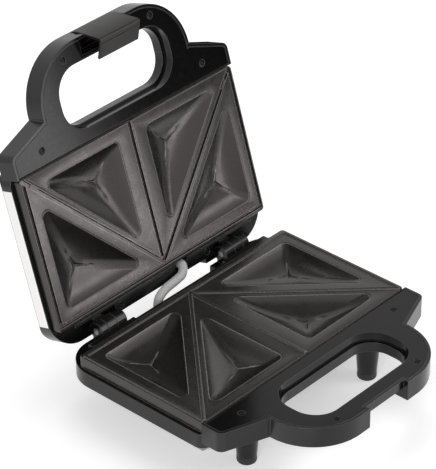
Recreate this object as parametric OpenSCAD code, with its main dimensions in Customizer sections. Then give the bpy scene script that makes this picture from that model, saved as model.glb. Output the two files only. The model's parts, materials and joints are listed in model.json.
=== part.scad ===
// Folding sandwich toaster, standing open.
// Two cast grill plates, four triangular pockets in each, sit in moulded housings that share two
// hinges. Both housings carry one half of a loop handle, and a sprung clip on the lid's grip
// hooks under the base's grip when the toaster is shut.
// Every piece is drawn in the closed position: x across, y from the plates' hinge edge (0)
// towards the handle (negative), z = 0 on the rim of the base plate. The lid's pieces are then
// swung open about the hinge line, and the whole is set on its feet.

/* [Grill plates] */
// Width of a plate
plate_w = 228; // [224:1:236]
// Depth of a plate, hinge edge to handle edge
plate_d = 122; // [120:1:128]
// Height of the plate's outer skirt
plate_skirt = 9; // [7:0.5:10]
// Thickness of the cast plate
plate_t = 2.4; // [1.8:0.1:2.6]
// Radius of the plate's corners
plate_corner = 3; // [1:0.5:5]
// Gap between the two rims when the toaster is shut
rim_gap = 0.4; // [0.3:0.1:0.8]

/* [Sealing ridges and grooves] */
// Width of a ridge on the base plate
ridge_w = 2.6; // [2:0.1:3]
// Height of a ridge
ridge_h = 1.2; // [0.8:0.1:1.4]
// Room between a ridge and the sides of its groove
groove_play = 0.5; // [0.4:0.05:0.7]
// Depth of a groove in the lid plate
groove_depth = 1.6; // [1.2:0.1:1.8]
// Ridge centre line to the plate's side edge
ridge_side = 3; // [2.5:0.1:4]
// Ridge centre line to the plate's hinge edge
ridge_hinge = 4.5; // [4:0.1:6]
// Where the diagonals meet, behind the hinge edge
ridge_fork = 6.4; // [5.5:0.1:8]

/* [Pockets] */
// Depth of a pocket at its deepest point
pocket_depth = 9.3; // [8:0.1:9.6]
// Radius of a pocket's rim at its corners
pocket_tip = 5; // [4:0.5:6]
// Land beside the centre ridge
land_centre = 14.3; // [13:0.1:16]
// Land along the handle edge
land_handle = 9; // [8:0.5:11]
// Land along the side edge
land_side = 12; // [11:0.5:14]
// Land along the hinge edge
land_hinge = 13.2; // [12:0.1:15]
// Land between the diagonal and the pocket on its handle side
land_front_diag = 5.5; // [4.5:0.1:8]
// Land between the diagonal and the pocket on its side-edge side
land_side_diag = 8.5; // [6:0.1:10]

/* [Housings] */
// Thickness of the moulded walls
wall = 2.4; // [2:0.1:2.8]
// How far the housing stands out beyond the plate at each side
side_out = 3; // [2.8:0.1:4]
// Room between a plate and its housing
plate_play = 0.6; // [0.4:0.1:0.8]
// Depth of the base below the plate's rim
base_drop = 30; // [28:0.5:34]
// Depth at which the base's sides turn in to the bottom
base_side_drop = 21.5; // [20:0.5:23]
// How far the bottom is set in from the sides
bottom_inset = 8; // [6:0.5:9]
// How far the bottom is set in from the rear
bottom_inset_rear = 3; // [2:0.5:3.4]
// Height of the lid's sides
lid_rise = 22; // [21.5:0.5:24]
// Extra height of the lid's crown
lid_crown = 4; // [3:0.5:6]
// Corner radius of the housings at the handle, seen from above
housing_corner = 9; // [6:0.5:10]
// Corner radius of the housings at the hinges, seen from above
rear_corner = 28; // [24:1:32]
// Radius along the lid's long top edges
lid_edge_r = 5; // [3:0.5:6]
// Housing beyond the plate's handle edge
front_out = 4; // [3.4:0.2:5]
// Rear of the base, behind the plates
ledge_out = 17; // [16:0.25:17.5]
// Depth of the ledge between the base's hinges below the rim
ledge_drop = 15.5; // [15:0.5:17]
// Half width of the recess between the hinges
recess_half = 48; // [40:1:52]
// Rear of the lid's centre, behind the plates
lid_rear = 12; // [11:0.5:13]
// Rear of the lid's hinge lobes, behind the plates
lobe_rear = 18; // [17:0.25:18.25]
// Underside of the lid's hinge lobes, above the parting plane
lobe_floor = 8; // [7.6:0.1:9]
// Underside of the lid's rear centre, above the parting plane
rear_floor = 4; // [3.6:0.1:5]
// Height of the base's rear edge below the rim
rear_edge_drop = 1; // [0.6:0.1:2]

/* [Stainless cover] */
// Thickness of the sheet
sheet_t = 0.6; // [0.5:0.1:0.8]
// End of the sheet near the hinge, measured from the plate's hinge edge
sheet_rear = 5; // [4:0.5:12]
// End of the sheet near the handle, measured from the plate's handle edge
sheet_front = 7.5; // [6:0.5:16]
// Lower edge of the sheet's folded sides, above the parting plane
sheet_low = 8.5; // [8.2:0.1:10]

/* [Handle] */
// Reach of the handle beyond the plates
handle_len = 78; // [74:1:84]
// Depth of each half of the handle
handle_drop = 17; // [16:0.5:19]
// Width of the loop
loop_w = 155; // [150:1:162]
// Outer corner radius of the loop
loop_r = 45; // [40:1:46]
// How far the shoulders stand out beyond the plate
shoulder_out = 1.2; // [0.8:0.1:2]
// Length of the shoulders' straight ends
shoulder_len = 18; // [16:0.5:20]
// Corner radius of the shoulders
shoulder_r = 6; // [4:0.5:7]
// Plate edge to the notch where shoulder and loop meet
notch_len = 31.8; // [30:0.2:33]
// Width of the finger opening
opening_w = 116; // [110:1:118]
// Plate edge to the finger opening
opening_start = 11.5; // [11:0.5:13]
// Width of the grip at the front of the loop
grip_w = 17.7; // [17:0.1:20]
// Corner radius of the finger opening
opening_r = 21; // [16:0.5:22]
// Width of the step inside the finger opening
opening_step = 2; // [1.6:0.1:2.6]
// Thickness of the handle cover
cover_t = 1.8; // [1.5:0.1:2.2]
// Depth of the cover's face below the rim
cover_sink = 0.6; // [0.4:0.1:1]
// Depth of the cover's flange round the finger opening
flange_h = 8; // [6:0.5:9]
// Fit of the cover in its housing
cover_play = 0.25; // [0.2:0.05:0.35]
// Gap between the plate and the cover's edge
cover_gap = 1.8; // [1.4:0.1:2.2]

/* [Hinges] */
// Height of the hinge line below the parting plane
axis_drop = 1.2; // [1:0.1:1.6]
// Hinge line behind the plates
axis_back = 13; // [12.8:0.1:13.2]
// Radius of a knuckle
knuckle_r = 6.8; // [6:0.1:7]
// Inner end of a hinge, from the centre
hinge_start = 56; // [56:0.5:58]
// Length of the base's inner knuckle
knuckle_inner = 9.5; // [8:0.5:10]
// Length of the lid's knuckle
knuckle_mid = 10; // [8:0.5:11]
// Length of the base's outer knuckle
knuckle_outer = 6.5; // [5:0.5:8]
// Side play between knuckles
knuckle_play = 0.3; // [0.2:0.05:0.4]
// Radius of a hinge pin
pin_r = 2.5; // [2:0.1:3]
// Angle of the open lid
open_angle = 107; // [100:1:108]

/* [Latch] */
// Width of the clip
clip_w = 41.4; // [38:0.2:42]
// Room at each side of the clip
clip_play = 0.8; // [0.6:0.1:1]
// Thickness of the clip
clip_t = 2; // [1.8:0.1:2.2]
// Height of the clip's pivot above the parting plane
pivot_h = 10.5; // [10.3:0.1:10.8]
// Clip's pivot behind the front of the grip
pivot_in = 3; // [2.8:0.1:3.2]
// Radius of the clip's pivot pin
clip_pin_r = 1.5; // [1.2:0.1:1.6]
// Length of the clip below its pivot
clip_len = 25.2; // [25:0.1:25.8]
// Reach of the hook
hook_len = 13; // [12.4:0.1:13.4]
// Rise of the hook's tip
hook_rise = 4; // [3.6:0.1:4.2]
// Lean of the clip when it hangs free, pushed in by its spring
clip_lean = 10; // [8:0.5:10.4]
// Depth of the base's grip where the clip hooks under it
catch_h = 7.6; // [7:0.1:7.6]
// How far the base's grip is set back for the clip
catch_in = 4; // [4:0.1:4.6]

/* [Feet] */
// Height of the parting plane above the table
stand_h = 58; // [52:0.5:64]
// Front feet from the centre
front_foot_x = 69; // [64:0.5:76]
// Front feet beyond the plates' handle edge
front_foot_out = 2.5; // [1:0.5:4]
// Rear feet from the centre
rear_foot_x = 72; // [66:0.5:74]
// Rear feet behind the plates' hinge edge, under the open lid's weight
rear_foot_out = 3; // [0:0.5:3.5]
// Radius of a leg at its top
leg_top_r = 10.2; // [9:0.2:10.6]
// Radius of a leg at its foot
leg_low_r = 7.6; // [6.8:0.1:8]
// Height of a rubber foot tip
tip_h = 6; // [5:0.5:8]

/* [Heating] */
// Radius of a heating element's tube
tube_r = 3.2; // [2.8:0.1:3.2]
// Element leg nearer the hinge, from the plates' hinge edge
leg_near = 36; // [34:0.5:38]
// Element leg nearer the handle, from the plates' hinge edge
leg_far = 88; // [86:0.5:90]
// Half length of the element's straight legs
leg_half = 60; // [52:1:62]
// Clearance between the element and the plate
seat = 0.3; // [0.2:0.05:0.35]
// Thickness of the clamps that hold the element
clamp_t = 1.2; // [1:0.1:1.4]
// Thickness of the reflector tray
tray_t = 0.6; // [0.5:0.1:0.8]
// Radius of the plate screws
screw_r = 1.6; // [1.4:0.05:1.7]
// Radius of the plate screws' heads
screw_head_r = 3; // [2.8:0.1:3.1]

/* [Hidden] */
$fn = 48;
eps = 0.01;
// Past every piece, for cutting blocks
far = 200;

// Half width and the main lines of the plan
half_w = plate_w / 2;
housing_x = half_w + side_out;
housing_front = -plate_d - front_out;
loop_front = -plate_d - handle_len;
opening_back = -plate_d - opening_start;
opening_front = loop_front + grip_w;
// Seam between a housing and its grip, in the notch beside the loop, and the gap there
seam_y = -plate_d - notch_len - 0.6;
seam_gap = 0.05;
tongue_half = opening_w / 2 + wall + 3.6;
tongue_y = opening_back + wall + 2;
// Raised strip behind the base plate: its rear face, and the same between the hinges
rear_strip = 5.5;
rear_strip_thin = 3;
strip_in = 50;
strip_out = 98;
side_top = plate_skirt + 0.4;
bottom_z = -base_drop;
element_z = -(pocket_depth + plate_t + seat + tube_r);
clamp_z = element_z - tube_r - 0.1;
tray_z = clamp_z - clamp_t - 0.1;
// Half width of the reflector tray, and its edges
tray_x = 94;
tray_y = [-16, -104];
// Screw bosses under a plate, their lower ends, and the housing's posts below them
boss_r = 4;
base_boss_z = 10 - base_drop;
lid_boss_z = rim_gap + 6.6 - lid_rise;
boss_x = half_w - 12;
boss_y = [-7.5, -plate_d + 11];
post_gap = 0.3;
post_r = 4.8;
fastener_gap = 0.08;
cover_screws_xy = [[86, -plate_d - 12.5], [46, loop_front + 11]];
cover_screw_r = 1.5;
cover_head_r = 2.6;
hinge_screw_xy = [48, 7];
knuckle_x = [
  hinge_start,
  hinge_start + knuckle_inner,
  hinge_start + knuckle_inner + knuckle_mid,
  hinge_start + knuckle_inner + knuckle_mid + knuckle_outer
];
arm_y = [axis_back - 5.5, axis_back + 5.5];
clip_half = clip_w / 2;
bay_half = clip_half + clip_play;
pivot_y = loop_front + pivot_in;
bay_back = pivot_y + 8.5;
bay_roof = pivot_h + 4.6;
cheek_half = bay_half + 5;
catch_y = loop_front + catch_in;
leg_z = tip_h - stand_h;
front_leg = [front_foot_x, -plate_d - front_foot_out];
rear_leg = [rear_foot_x, rear_foot_out];
// Spigot of a leg in its hole through the housing
spigot_r = 3;
spigot_h = wall + 1;

// Sleeve of the lid's wires: hand-placed points, from inside the base to inside the open lid
sleeve_r = 3.6;
sleeve_hole_r = 5;
sleeve_route = [
  [-18, 10.4, -20.5], [-18, 10.4, -16], [-18, 10.6, -12], [-17.4, 11, -8], [-14.4, 11.8, -4],
  [-7, 13, -1.6], [-1, 13.8, -1.3], [4.5, 14.4, -1.2], [10, 14.6, -0.4], [14, 15, 0.6],
  [17.4, 17, 2.6], [19.2, 19.4, 4.6], [19.5, 21.4, 5], [19.5, 23.6, 4.6], [19.5, 26, 4]
];
sleeve_base_hole = [-18, 10.4];
// Sides of the notch in the lid's rear floor that the sleeve goes through
sleeve_lid_notch = [12, 25];

// The open toaster's plan is centred on the origin
open_back = axis_back + (lobe_rear - axis_back) * cos(open_angle)
  + (lid_rise + axis_drop) * sin(open_angle);
loop_back = axis_back + (loop_front - axis_back) * cos(open_angle)
  + (rim_gap + handle_drop + axis_drop) * sin(open_angle);
origin_y = -(loop_front + max(open_back, loop_back)) / 2;

function pick(list, i) = list[i % len(list)];
function unit(v) = v / norm(v);
function turn_to(a, b) = a + ((b - a) % 360 + 360) % 360;
// Meeting point of the lines n1.p = c1 and n2.p = c2
function meet(n1, c1, n2, c2) = let (det = n1.x * n2.y - n1.y * n2.x)
  [(c1 * n2.y - c2 * n1.y) / det, (n1.x * c2 - n2.x * c1) / det];
// Outline of a triangle given by three inward lines, moved in by inset, corners rounded to r
function tri_outline(lines, inset, r, steps) = [
  for (i = [0:2]) let (
    a = lines[i],
    b = pick(lines, i + 1),
    c = meet(a[0], a[1] + inset + r, b[0], b[1] + inset + r),
    from = atan2(-a[0].y, -a[0].x),
    to = turn_to(from, atan2(-b[0].y, -b[0].x))
  ) for (k = [0:steps]) let (t = from + (to - from) * k / steps)
    [c.x + r * cos(t), c.y + r * sin(t)]
];

// Plate layout on the right half: the diagonal and the two pockets beside it
fork = [0, -ridge_fork];
diag_end = [half_w - ridge_side, -plate_d + 1];
diag_dir = unit(diag_end - fork);
diag_n = [diag_dir.y, -diag_dir.x];
front_pocket = [
  [[1, 0], land_centre],
  [[0, 1], -plate_d + land_handle],
  [diag_n, diag_n * fork + land_front_diag]
];
side_pocket = [
  [-diag_n, -diag_n * fork + land_side_diag],
  [[-1, 0], -(half_w - land_side)],
  [[0, -1], land_hinge]
];
// Pocket section: share of the depth, inset from the rim, corner radius
pocket_levels = [[0, 0, 1], [0.42, 1.6, 0.85], [0.72, 5, 0.6], [0.86, 10, 0.4], [0.97, 18, 0.2]];

module both_sides() {
  children();
  mirror([1, 0, 0]) children();
}

module standing() {
  translate([0, origin_y, stand_h]) children();
}

module swung_open() {
  standing()
    translate([0, axis_back, -axis_drop])
      rotate([-open_angle, 0, 0])
        translate([0, -axis_back, axis_drop])
          children();
}

// A piece drawn for the base, turned over for the lid
module lid_side() {
  translate([0, 0, rim_gap]) mirror([0, 0, 1]) children();
}

module slab(z0, z1) {
  translate([0, 0, z0]) linear_extrude(height = z1 - z0) children();
}

module rounded_rect(x0, x1, y0, y1, r) {
  translate([x0 + r, y0]) square([x1 - x0 - 2 * r, y1 - y0]);
  translate([x0, y0 + r]) square([x1 - x0, y1 - y0 - 2 * r]);
  for (x = [x0 + r, x1 - r], y = [y0 + r, y1 - r]) translate([x, y]) circle(r);
}

module block(x0, x1, y0, y1, z0, z1) {
  translate([x0, y0, z0]) cube([x1 - x0, y1 - y0, z1 - z0]);
}

// Solid between stacked outlines, each a list of as many points; the last one closes flat
module stacked(rings, heights) {
  n = len(rings[0]);
  levels = len(rings);
  points = [for (i = [0:levels - 1]) for (p = rings[i]) [p.x, p.y, heights[i]]];
  sides = [
    for (i = [0:levels - 2]) for (j = [0:n - 1]) let (
      a = i * n + j,
      b = i * n + (j + 1) % n
    ) each [[a, b, a + n], [b, b + n, a + n]]
  ];
  top = [for (j = [1:n - 2]) [0, j + 1, j]];
  last = (levels - 1) * n;
  low = [for (j = [1:n - 2]) [last, last + j, last + j + 1]];
  polyhedron(points = points, faces = concat(sides, top, low));
}

module pocket(lines, grow, top_z) {
  rings = [
    for (l = pocket_levels)
      tri_outline(lines, l[1] - grow, l[2] * pocket_tip + grow, 5)
  ];
  heights = [for (l = pocket_levels) -l[0] * pocket_depth - (l[0] > 0 ? grow : -top_z)];
  stacked(rings, heights);
}

module bar(from, to, w) {
  d = to - from;
  translate(from) rotate(atan2(d.y, d.x)) translate([0, -w / 2]) square([norm(d), w]);
}

// Plan of the seal lines, w wide
module seal_lines(w) {
  side_x = half_w - ridge_side;
  end_y = -plate_d + 1;
  bar([-side_x - w / 2, -ridge_hinge], [side_x + w / 2, -ridge_hinge], w);
  bar([0, -ridge_hinge], [0, end_y], w);
  both_sides() {
    bar([side_x, -ridge_hinge], [side_x, end_y], w);
    bar(fork, diag_end, w);
  }
}

module plate_outline(inset) {
  rounded_rect(
    -half_w + inset, half_w - inset, -plate_d + inset, -inset, max(plate_corner - inset, 0.5)
  );
}

// Cast plate without its seal lines: skirt, slab, tubs, bosses and clamp studs
module plate_casting(boss_z) {
  difference() {
    union() {
      difference() {
        slab(-plate_skirt, 0) plate_outline(0);
        slab(-plate_skirt - 1, -plate_t) plate_outline(plate_t);
      }
      both_sides() {
        pocket(front_pocket, plate_t, -plate_t / 2);
        pocket(side_pocket, plate_t, -plate_t / 2);
        for (y = boss_y)
          translate([boss_x, y, boss_z]) cylinder(r = boss_r, h = -boss_z - plate_t / 2);
      }
      for (y = stud_ys) {
        translate([0, y, clamp_z + eps]) cylinder(r = 3.4, h = -clamp_z - plate_t / 2);
        translate([0, y, tray_z - tray_t - 1]) cylinder(r = stud_r, h = -tray_z - plate_t / 2);
        translate([0, y, tray_z - tray_t - 1]) cylinder(r = 2.4, h = 0.9);
      }
    }
    both_sides() {
      pocket(front_pocket, 0, 1);
      pocket(side_pocket, 0, 1);
      for (y = boss_y)
        translate([boss_x, y, boss_z - 1])
          cylinder(r = screw_r + fastener_gap, h = -boss_z - plate_t - 1);
    }
  }
}
stud_r = 1.5;
stud_ys = [-leg_near - 11, -leg_far - 11];

module element() {
  mid_y = -(leg_near + leg_far) / 2;
  bend_r = (leg_far - leg_near) / 2;
  translate([0, 0, element_z]) {
    for (y = [-leg_near, -leg_far]) translate([-leg_half, y, 0]) rotate([0, 90, 0]) {
      cylinder(r = tube_r, h = 2 * leg_half);
      translate([0, 0, 2 * leg_half - eps]) cylinder(r = 1.2, h = 12);
    }
    translate([-leg_half, mid_y, 0])
      rotate([0, 0, 90]) rotate_extrude(angle = 180) translate([bend_r, 0]) circle(tube_r);
  }
}

// Straps under the element, held by studs of the plate
module element_clamps() {
  for (leg = [0, 1]) {
    y = [-leg_near, -leg_far][leg];
    difference() {
      union() {
        block(-4, 4, y - 15, y + tube_r + 1.6, clamp_z - clamp_t, clamp_z);
        block(-4, 4, y + tube_r + 0.4, y + tube_r + 1.6, clamp_z - clamp_t, clamp_z + 4);
      }
      translate([0, stud_ys[leg], clamp_z - clamp_t - 1])
        cylinder(r = stud_r + fastener_gap, h = clamp_t + 2);
    }
  }
}

module reflector() {
  rim_h = 5;
  difference() {
    block(-tray_x, tray_x, tray_y[1], tray_y[0], tray_z - tray_t, tray_z + rim_h);
    block(-tray_x + tray_t, tray_x - tray_t, tray_y[1] + tray_t, tray_y[0] - tray_t, tray_z,
          tray_z + rim_h + 1);
    for (y = stud_ys) translate([0, y, tray_z - tray_t - 1])
      cylinder(r = stud_r + fastener_gap, h = tray_t + 2);
  }
}

// Where the head of a plate screw seats, for a boss that ends at boss_z
function screw_seat(boss_z) = boss_z - post_gap - 2.2;

// Screws that come up through the housing into the plate's bosses
module plate_screws(boss_z) {
  seat_z = screw_seat(boss_z);
  both_sides() for (y = boss_y) translate([boss_x, y, 0]) {
    translate([0, 0, seat_z - 2.2]) cylinder(r = screw_head_r, h = 2.2);
    translate([0, 0, seat_z - eps]) cylinder(r = screw_r, h = -seat_z - 8);
  }
}

module screw_post(z0, boss_z) {
  for (y = boss_y) translate([boss_x, y, z0]) cylinder(r = post_r, h = boss_z - post_gap - z0);
}

module screw_post_bore(z0, boss_z) {
  for (y = boss_y) translate([boss_x, y, z0]) {
    cylinder(r = screw_head_r + 0.3, h = screw_seat(boss_z) - z0);
    cylinder(r = screw_r + fastener_gap, h = boss_z - z0);
  }
}

// Handle plan: shoulders and loop, moved in by g
module handle_outline(g) {
  x = half_w + shoulder_out;
  y1 = -plate_d - shoulder_len;
  y2 = -plate_d - notch_len;
  offset(r = shoulder_r - g) offset(delta = -shoulder_r)
    polygon([
      [-x, housing_front + 20], [x, housing_front + 20], [x, y1],
      [loop_w / 2, y2], [-loop_w / 2, y2], [-x, y1]
    ]);
  arc_x = loop_w / 2 - loop_r;
  arc_y = loop_front + loop_r;
  translate([-arc_x, loop_front + g]) square([2 * arc_x, loop_r]);
  translate([-loop_w / 2 + g, arc_y]) square([loop_w - 2 * g, -plate_d - arc_y]);
  for (s = [-1, 1]) translate([s * arc_x, arc_y]) circle(loop_r - g);
}

// Finger opening, moved in by g
module opening_outline(g) {
  rounded_rect(
    -opening_w / 2 + g, opening_w / 2 - g, opening_front + g, opening_back - g, opening_r - g
  );
}

// Handle half of a housing, open towards the parting plane
module handle_block() {
  intersection() {
    slab(-handle_drop, -0.3) handle_outline(0);
    block(-far, far, loop_front - 10, -plate_d - plate_play, -handle_drop, 1);
  }
}

module handle_cavity() {
  difference() {
    intersection() {
      slab(-handle_drop + wall, 1) handle_outline(wall);
      block(-far, far, loop_front, housing_front - wall / 2 + 1, -handle_drop, 2);
    }
    slab(-handle_drop, -flange_h - cover_sink - seat) opening_outline(opening_step - wall);
  }
  // Seat of the cover above the front wall of the housing
  intersection() {
    slab(-cover_sink - cover_t - 0.2, 1) handle_outline(wall);
    block(-far, far, loop_front, -plate_d - plate_play - 0.4, -handle_drop, 2);
  }
}

module screw_bosses(bore_r) {
  both_sides() for (p = cover_screws_xy) translate([p.x, p.y, -handle_drop + eps])
    difference() {
      cylinder(r = 3.6, h = handle_drop - cover_sink - cover_t - 0.1);
      translate([0, 0, wall]) cylinder(r = bore_r, h = handle_drop);
    }
}

// Gloss panel over a handle half, with a flange down the finger opening
module handle_cover(cut_half, cut_y) {
  difference() {
    union() {
      intersection() {
        slab(-cover_sink - cover_t, -cover_sink) handle_outline(wall + cover_play);
        block(-far, far, loop_front, -plate_d - cover_gap, -handle_drop, 2);
      }
      slab(-cover_sink - flange_h, -cover_sink) opening_outline(-wall + cover_play);
    }
    slab(-handle_drop, 1) opening_outline(0);
    both_sides() for (p = cover_screws_xy) translate([p.x, p.y, 0]) {
      translate([0, 0, -cover_sink - cover_t - 1]) cylinder(r = cover_screw_r + 0.2, h = 4);
      translate([0, 0, -cover_sink - 1]) cylinder(r = cover_head_r + 0.2, h = 2);
    }
    block(-cut_half, cut_half, loop_front - 5, cut_y, -handle_drop, 1);
  }
}

module cover_screws() {
  both_sides() for (p = cover_screws_xy) translate([p.x, p.y, -cover_sink]) {
    translate([0, 0, -1]) cylinder(r = cover_head_r, h = 0.8);
    translate([0, 0, -9]) cylinder(r = cover_screw_r, h = 8.1);
  }
}

// ---- Base ----

// Plan of a housing with its rear edge at rear, moved in by g
module housing_plan(g, rear) {
  rounded_rect(
    -housing_x + g, housing_x - g, housing_front + g, -plate_d / 2, max(housing_corner - g, 1)
  );
  rounded_rect(-housing_x + g, housing_x - g, -plate_d, rear - g, max(rear_corner - g, 1));
}

module base_pan(inset, floor_z) {
  slab(-base_side_drop - eps, -side_top) housing_plan(inset, ledge_out);
  hull() {
    slab(-base_side_drop - eps, -base_side_drop) housing_plan(inset, ledge_out);
    slab(floor_z, floor_z + eps)
      housing_plan(inset + bottom_inset, ledge_out + bottom_inset - bottom_inset_rear);
  }
}

// Moulded base, housing and grip in one
module base_moulding() {
  difference() {
    union() {
      difference() {
        union() {
          base_pan(0, bottom_z);
          handle_block();
          // Raised strip along the hinge edge, thicker at the hinges
          block(-strip_out, strip_out, plate_play, rear_strip_thin, -side_top - 1, -rear_edge_drop);
          both_sides()
            block(strip_in, strip_out, plate_play, rear_strip, -side_top - 1, -rear_edge_drop);
        }
        // Recess between the hinges, above the ledge
        block(-recess_half, recess_half, rear_strip_thin, ledge_out + 1, -ledge_drop, 1);
        base_inside();
        handle_cavity_base();
      }
      both_sides() {
        intersection() {
          screw_post(bottom_z, base_boss_z);
          base_pan(1, bottom_z);
        }
        knuckle_post(knuckle_x[0], knuckle_x[1]);
        knuckle_post(knuckle_x[2], knuckle_x[3]);
      }
      screw_bosses(cover_screw_r + fastener_gap);
    }
    both_sides() {
      screw_post_bore(bottom_z - 1, base_boss_z);
      translate([knuckle_x[0] - 1, axis_back, -axis_drop])
        rotate([0, 90, 0]) cylinder(r = pin_r + 0.03, h = knuckle_x[3] - knuckle_x[0] + 2);
      spigot(front_leg, -handle_drop - 1, spigot_h + 1, fastener_gap);
      spigot(rear_leg, bottom_z - 1, spigot_h + 1, fastener_gap);
    }
    slab(-handle_drop - 1, 1) opening_outline(opening_step);
    slab(-flange_h - cover_sink - seat, 1) opening_outline(-wall - eps);
    catch_cut();
    translate([sleeve_base_hole.x, sleeve_base_hole.y, -ledge_drop - wall - 1])
      cylinder(r = sleeve_hole_r, h = wall + 2);
    translate([gland_x, ledge_out - wall - 1, gland_z])
      rotate([-90, 0, 0]) cylinder(r = gland_r + fastener_gap, h = wall + 2);
  }
}

// Everything in front of the plane at y
module in_front_of(y) {
  block(-far, far, loop_front - 10, y, -far, far);
}

// Space of the base's grip: in front of the notches and all round the finger opening
module base_grip_space(g) {
  in_front_of(seam_y - g);
  block(-tongue_half + g, tongue_half - g, seam_y - 1, tongue_y - g, -far, far);
}

module base_shell() {
  color([0.07, 0.07, 0.075]) standing() difference() {
    base_moulding();
    base_grip_space(0);
  }
}

module base_grip() {
  color([0.07, 0.07, 0.075]) standing() intersection() {
    base_moulding();
    base_grip_space(seam_gap);
  }
}
gland_x = -68;
gland_z = -16.7;
gland_r = 4.4;

// Hollow of the base housing, open towards the plate
module base_inside() {
  difference() {
    base_pan(wall, bottom_z + wall);
    block(-recess_half - wall, recess_half + wall, rear_strip_thin - wall, far,
          -ledge_drop - wall, 1);
    block(-far, far, plate_play + eps, far, -side_top - wall, 1);
  }
  slab(-base_side_drop, 1) rounded_rect(
    -half_w - plate_play, half_w + plate_play, -plate_d - plate_play, plate_play,
    plate_corner + plate_play
  );
}

// Handle hollow of the base, shallow where the clip hooks under the grip
module handle_cavity_base() {
  z = -catch_h + wall;
  difference() {
    handle_cavity();
    block(-bay_half - wall, bay_half + wall, loop_front - 1, opening_front + wall, -handle_drop, z);
    block(-bay_half - wall, bay_half + wall, loop_front - 1, catch_y + wall, -handle_drop, 2);
  }
}

// Space for the clip in front of and under the base's grip
module catch_cut() {
  block(-bay_half, bay_half, loop_front - 5, catch_y, -handle_drop - 1, 1);
  block(-bay_half, bay_half, loop_front - 5, opening_front + wall + 1, -handle_drop - 1, -catch_h);
}

module knuckle_post(x0, x1) {
  translate([x0, axis_back, -axis_drop]) rotate([0, 90, 0]) cylinder(r = knuckle_r, h = x1 - x0);
  block(x0, x1, arm_y[0], min(arm_y[1], ledge_out - 0.5), -side_top - wall / 2, -axis_drop);
}

module spigot(at, z, h, grow) {
  translate([at.x, at.y, z]) cylinder(r = spigot_r + grow, h = h);
}

module leg(at, top_z) {
  translate([at.x, at.y, leg_z]) cylinder(r1 = leg_low_r, r2 = leg_top_r, h = top_z - leg_z);
}

// Peg legs, held by spigots in the housing's bottom; the front pair stand against its slope
module legs() {
  fit = 0.05;
  color([0.07, 0.07, 0.075]) standing() both_sides() {
    difference() {
      leg(front_leg, -handle_drop - fit);
      base_pan(-fit, bottom_z - fit);
    }
    spigot(front_leg, -handle_drop - 0.9, spigot_h + 0.9, 0);
    leg(rear_leg, bottom_z - fit);
    spigot(rear_leg, bottom_z - 0.9, spigot_h + 0.9, 0);
  }
}

module base_handle_cover() {
  color([0.05, 0.05, 0.055]) standing() difference() {
    handle_cover(bay_half + wall + cover_play, catch_y + wall + cover_play);
    block(-bay_half - wall - cover_play, bay_half + wall + cover_play, loop_front,
          opening_front + 10, -handle_drop, -catch_h + wall + seat);
  }
}

module base_plate() {
  color([0.27, 0.26, 0.26]) standing() {
    plate_casting(base_boss_z);
    slab(-0.5, ridge_h) seal_lines(ridge_w);
  }
}

module base_element() {
  color([0.55, 0.53, 0.5]) standing() element();
}

module base_element_clamps() {
  color([0.7, 0.7, 0.72]) standing() element_clamps();
}

module base_reflector() {
  color([0.75, 0.75, 0.76]) standing() reflector();
}

module base_plate_screws() {
  color([0.6, 0.6, 0.62]) standing() plate_screws(base_boss_z);
}

module base_cover_screws() {
  color([0.12, 0.12, 0.12]) standing() cover_screws();
}

// Disc thermostat under the middle of the plate, and its two tabs
module thermostat() {
  color([0.9, 0.88, 0.82]) standing() translate([0, thermostat_y, -plate_t - seat]) {
    translate([0, 0, -thermostat_h]) cylinder(r = thermostat_r, h = thermostat_h);
    both_sides() translate([thermostat_r - 4.5, -2.5, -thermostat_h - 1]) cube([6.5, 5, 1 + eps]);
  }
}
thermostat_y = -68;
thermostat_r = 7.5;
thermostat_h = 7;

// Thermal fuse on its leads, between the thermostat and the nearer stud
module thermal_fuse() {
  color([0.85, 0.82, 0.7]) standing()
    translate([-fuse_len / 2, thermostat_y + thermostat_r + fuse_r + 1.1, -plate_t - seat - fuse_r])
      rotate([0, 90, 0]) {
        cylinder(r = fuse_r, h = fuse_len);
        translate([0, 0, -fuse_lead]) cylinder(r = fuse_r / 4, h = fuse_len + 2 * fuse_lead);
      }
}
fuse_r = 2.4;
fuse_len = 18;
fuse_lead = 2.5;

module terminal_block() {
  z = bottom_z + wall;
  color([0.92, 0.9, 0.85]) standing() difference() {
    block(-2, 28, -9, 1, z, z + 9);
    for (x = [3, 13, 23]) translate([x, -4, z + 3]) cylinder(r = 2, h = 8);
  }
}

// Strain relief bush for the mains cord
module cord_gland() {
  color([0.06, 0.06, 0.06]) standing() translate([gland_x, ledge_out, gland_z])
    rotate([-90, 0, 0]) difference() {
      union() {
        translate([0, 0, -wall - 3]) cylinder(r = gland_r, h = wall + 4);
        translate([0, 0, 0.05]) cylinder(r = gland_r + 1, h = 1.8);
        translate([0, 0, -wall - 3]) cylinder(r = gland_r + 0.35, h = 2.9);
      }
      translate([0, 0, -wall - 4]) cylinder(r = 3.1, h = wall + 8);
    }
}

// Rubber tips of the four legs, flat where they stand
module foot_tips() {
  edge = 2;
  color([0.09, 0.09, 0.09]) standing() both_sides()
    for (p = [front_leg, rear_leg])
      translate([p.x, p.y, -stand_h]) rotate_extrude() {
        square([leg_low_r - edge, tip_h - 0.05]);
        translate([0, edge]) square([leg_low_r, tip_h - 0.05 - edge]);
        intersection() {
          translate([leg_low_r - edge, edge]) circle(edge);
          square([leg_low_r + 1, tip_h]);
        }
      }
}

module hinge_pins() {
  color([0.7, 0.7, 0.72]) standing() both_sides()
    translate([knuckle_x[0] + 0.5, axis_back, -axis_drop])
      rotate([0, 90, 0]) cylinder(r = pin_r, h = knuckle_x[3] - knuckle_x[0]);
}

// ---- Lid, drawn shut ----

// Height of the lid's top at x, for an edge height h
function crown(x, h, half) = h + lid_crown * (1 - pow(x / half, 2));

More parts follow.
